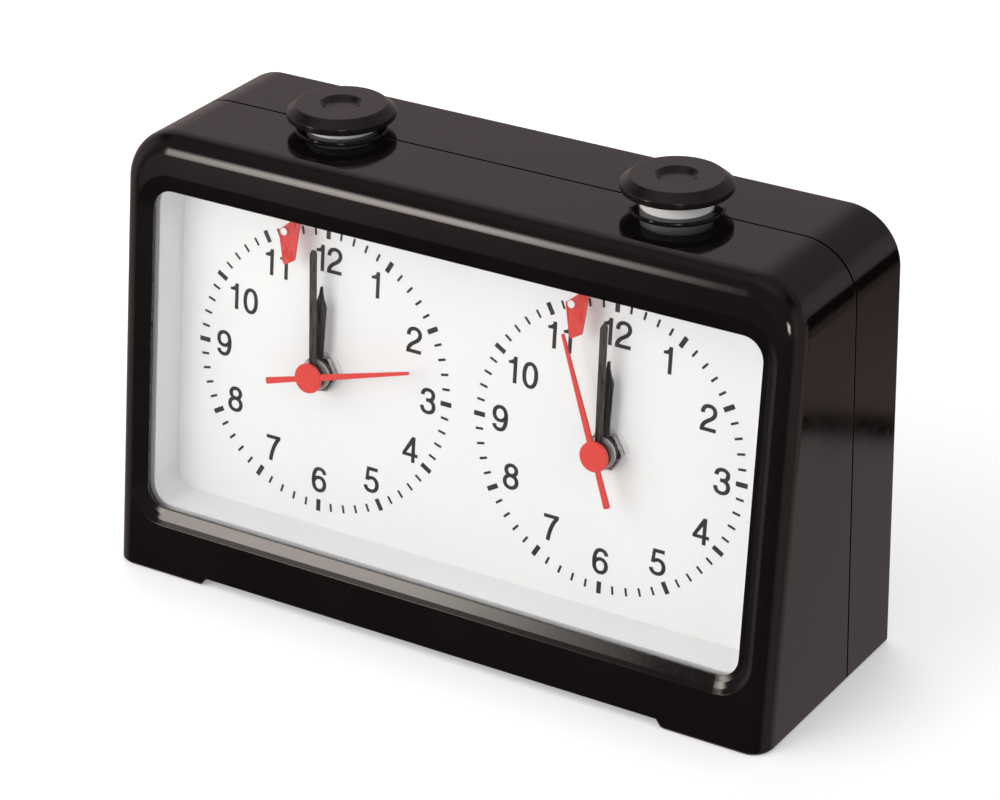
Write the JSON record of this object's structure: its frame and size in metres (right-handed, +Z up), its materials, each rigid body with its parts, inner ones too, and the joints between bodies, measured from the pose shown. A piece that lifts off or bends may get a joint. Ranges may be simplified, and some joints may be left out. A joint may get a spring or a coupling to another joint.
{
  "type": "chess clock",
  "caption": "Desktop chess clock: two analogue dials with hands and red flags behind a window in a leaning black case, with a push button over each dial joined by a rocker.",
  "frame": {"origin": "at table height, midway between the sides and 26.2 mm behind the front edge of the feet, which is within 0.3 mm of the middle of the rectangle the case covers", "axes": "+X towards the right-hand clock, +Y towards the back (the dials face -Y and lean back), +Z up"},
  "size_m": [0.1508, 0.0529, 0.0991],
  "materials": {
    "case_black": "glossy black moulded ABS",
    "cap_black": "satin black moulded ABS",
    "collar_black": "black moulded guide",
    "stem_white": "white moulded plastic",
    "window": "clear acrylic window",
    "dial_white": "white tray with printed dials",
    "hand_black": "black painted stamped aluminium",
    "red": "red painted",
    "flag_red": "red moulded plastic",
    "nut_metal": "dark nickel plate",
    "washer_white": "white nylon",
    "screw_steel": "zinc plated steel",
    "pin_steel": "bright steel pin",
    "door_black": "textured black moulding",
    "knob_black": "black moulded knob",
    "rocker_white": "natural acetal",
    "movement_black": "black moulded movement case",
    "plate_clear": "natural moulded plate",
    "wheel_plastic": "natural acetal wheels",
    "rotor_magnet": "plastic-bonded ferrite magnet",
    "coil_copper": "enamelled copper winding",
    "stator_steel": "soft iron laminations",
    "board": "green circuit board",
    "chip": "black epoxy blob",
    "crystal": "bright metal can",
    "battery_wrap": "plain dark wrap with a bright end",
    "contact_metal": "nickel plated spring strip"
  },
  "bodies": {
    "case": {"front_case": "case_black", "rear_case": "case_black", "window_lens": "window", "dial_tray": "dial_white", "case_screws": "screw_steel", "tray_screws": "screw_steel", "button_guides": "collar_black", "rocker_pivot_pin": "pin_steel", "rocker_clip": "screw_steel", "switch_blades": "contact_metal", "circuit_board": "board", "clock_chip": "chip", "quartz_crystal": "crystal", "battery": "battery_wrap", "battery_contact_positive": "contact_metal", "battery_contact_negative": "contact_metal", "bush_nuts": "nut_metal", "bush_washers": "washer_white", "flag_pins": "pin_steel", "left_movement_base": "movement_black", "left_gear_plate": "plate_clear", "left_movement_cover": "movement_black", "left_motor_coil": "coil_copper", "left_motor_stator": "stator_steel", "right_movement_base": "movement_black", "right_gear_plate": "plate_clear", "right_movement_cover": "movement_black", "right_motor_coil": "coil_copper", "right_motor_stator": "stator_steel"},
    "rocker": {"rocker_lever": "rocker_white"},
    "left_button": {"left_button_cap": "cap_black", "left_button_stem": "stem_white"},
    "right_button": {"right_button_cap": "cap_black", "right_button_stem": "stem_white"},
    "battery_door": {"battery_door": "door_black"},
    "left_second": {"left_second_wheel": "wheel_plastic", "left_second_hand": "red"},
    "left_third": {"left_third_wheel": "wheel_plastic"},
    "left_minute": {"left_minute_wheel": "wheel_plastic", "left_minute_hand": "hand_black"},
    "left_motion": {"left_motion_wheel": "wheel_plastic"},
    "left_hour": {"left_hour_wheel": "wheel_plastic", "left_hour_hand": "hand_black"},
    "left_fifth": {"left_fifth_wheel": "wheel_plastic"},
    "left_rotor": {"left_motor_rotor": "rotor_magnet"},
    "left_knob": {"left_setting_knob": "knob_black"},
    "left_flag": {"left_flag": "flag_red"},
    "right_second": {"right_second_wheel": "wheel_plastic", "right_second_hand": "red"},
    "right_third": {"right_third_wheel": "wheel_plastic"},
    "right_minute": {"right_minute_wheel": "wheel_plastic", "right_minute_hand": "hand_black"},
    "right_motion": {"right_motion_wheel": "wheel_plastic"},
    "right_hour": {"right_hour_wheel": "wheel_plastic", "right_hour_hand": "hand_black"},
    "right_fifth": {"right_fifth_wheel": "wheel_plastic"},
    "right_rotor": {"right_motor_rotor": "rotor_magnet"},
    "right_knob": {"right_setting_knob": "knob_black"},
    "right_flag": {"right_flag": "flag_red"}
  },
  "joints": [
    {"name": "rocker_tilt", "type": "hinge", "parent": "case", "child": "rocker", "pos_m": [0, 0.0055, 0.0745], "axis": [0, 1, 0], "range_deg": [0, 1.82]},
    {"name": "left_button_slide", "type": "slide", "parent": "case", "child": "left_button", "axis": [0, 0, 1], "range_m": [0, 0.00121]},
    {"name": "right_button_slide", "type": "slide", "parent": "case", "child": "right_button", "axis": [0, 0, 1], "range_m": [-0.00121, 0]},
    {"name": "battery_door_hinge", "type": "hinge", "parent": "case", "child": "battery_door", "pos_m": [0, 0.02565, 0.00658], "axis": [-1, 0, 0], "range_deg": [0, 75]},
    {"name": "left_second_spin", "type": "hinge", "parent": "case", "child": "left_second", "pos_m": [-0.0326, -0.0106, 0.0474], "axis": [0, 0.9938, -0.1115], "continuous": true},
    {"name": "left_third_spin", "type": "hinge", "parent": "case", "child": "left_third", "pos_m": [-0.0326, -0.01155, 0.03895], "axis": [0, 0.9938, -0.1115], "continuous": true},
    {"name": "left_minute_spin", "type": "hinge", "parent": "case", "child": "left_minute", "pos_m": [-0.0326, -0.0106, 0.0474], "axis": [0, 0.9938, -0.1115], "continuous": true},
    {"name": "left_motion_spin", "type": "hinge", "parent": "case", "child": "left_motion", "pos_m": [-0.0326, -0.00993, 0.05336], "axis": [0, 0.9938, -0.1115], "continuous": true},
    {"name": "left_hour_spin", "type": "hinge", "parent": "case", "child": "left_hour", "pos_m": [-0.0326, -0.0106, 0.0474], "axis": [0, 0.9938, -0.1115], "continuous": true},
    {"name": "left_fifth_spin", "type": "hinge", "parent": "case", "child": "left_fifth", "pos_m": [-0.0266, -0.0106, 0.0474], "axis": [0, 0.9938, -0.1115], "continuous": true},
    {"name": "left_rotor_spin", "type": "hinge", "parent": "case", "child": "left_rotor", "pos_m": [-0.02264, -0.01104, 0.04346], "axis": [0, 0.9938, -0.1115], "continuous": true},
    {"name": "left_knob_spin", "type": "hinge", "parent": "case", "child": "left_knob", "pos_m": [-0.0326, -0.00926, 0.05933], "axis": [0, 0.9938, -0.1115], "continuous": true},
    {"name": "left_flag_swing", "type": "hinge", "parent": "case", "child": "left_flag", "pos_m": [-0.0399, -0.0074, 0.07592], "axis": [0, -0.9938, 0.1115], "range_deg": [0, 67]},
    {"name": "right_second_spin", "type": "hinge", "parent": "case", "child": "right_second", "pos_m": [0.0326, -0.0106, 0.0474], "axis": [0, 0.9938, -0.1115], "continuous": true},
    {"name": "right_third_spin", "type": "hinge", "parent": "case", "child": "right_third", "pos_m": [0.0326, -0.01155, 0.03895], "axis": [0, 0.9938, -0.1115], "continuous": true},
    {"name": "right_minute_spin", "type": "hinge", "parent": "case", "child": "right_minute", "pos_m": [0.0326, -0.0106, 0.0474], "axis": [0, 0.9938, -0.1115], "continuous": true},
    {"name": "right_motion_spin", "type": "hinge", "parent": "case", "child": "right_motion", "pos_m": [0.0326, -0.00993, 0.05336], "axis": [0, 0.9938, -0.1115], "continuous": true},
    {"name": "right_hour_spin", "type": "hinge", "parent": "case", "child": "right_hour", "pos_m": [0.0326, -0.0106, 0.0474], "axis": [0, 0.9938, -0.1115], "continuous": true},
    {"name": "right_fifth_spin", "type": "hinge", "parent": "case", "child": "right_fifth", "pos_m": [0.0386, -0.0106, 0.0474], "axis": [0, 0.9938, -0.1115], "continuous": true},
    {"name": "right_rotor_spin", "type": "hinge", "parent": "case", "child": "right_rotor", "pos_m": [0.04256, -0.01104, 0.04346], "axis": [0, 0.9938, -0.1115], "continuous": true},
    {"name": "right_knob_spin", "type": "hinge", "parent": "case", "child": "right_knob", "pos_m": [0.0326, -0.00926, 0.05933], "axis": [0, 0.9938, -0.1115], "continuous": true},
    {"name": "right_flag_swing", "type": "hinge", "parent": "case", "child": "right_flag", "pos_m": [0.0253, -0.0074, 0.07592], "axis": [0, -0.9938, 0.1115], "range_deg": [0, 67]}
  ],
  "couplings": [
    {"joint": "left_button_slide", "follows": "rocker_tilt", "m_per_rad": 0.0377},
    {"joint": "right_button_slide", "follows": "rocker_tilt", "m_per_rad": -0.0377},
    {"joint": "left_third_spin", "follows": "left_second_spin", "ratio": -0.13333},
    {"joint": "left_minute_spin", "follows": "left_second_spin", "ratio": 0.016667},
    {"joint": "left_motion_spin", "follows": "left_second_spin", "ratio": -0.0055556},
    {"joint": "left_hour_spin", "follows": "left_second_spin", "ratio": 0.0013889},
    {"joint": "left_fifth_spin", "follows": "left_second_spin", "ratio": -5},
    {"joint": "left_rotor_spin", "follows": "left_second_spin", "ratio": 30},
    {"joint": "left_knob_spin", "follows": "left_second_spin", "ratio": 0.016667},
    {"joint": "right_third_spin", "follows": "right_second_spin", "ratio": -0.13333},
    {"joint": "right_minute_spin", "follows": "right_second_spin", "ratio": 0.016667},
    {"joint": "right_motion_spin", "follows": "right_second_spin", "ratio": -0.0055556},
    {"joint": "right_hour_spin", "follows": "right_second_spin", "ratio": 0.0013889},
    {"joint": "right_fifth_spin", "follows": "right_second_spin", "ratio": -5},
    {"joint": "right_rotor_spin", "follows": "right_second_spin", "ratio": 30},
    {"joint": "right_knob_spin", "follows": "right_second_spin", "ratio": 0.016667}
  ]
}
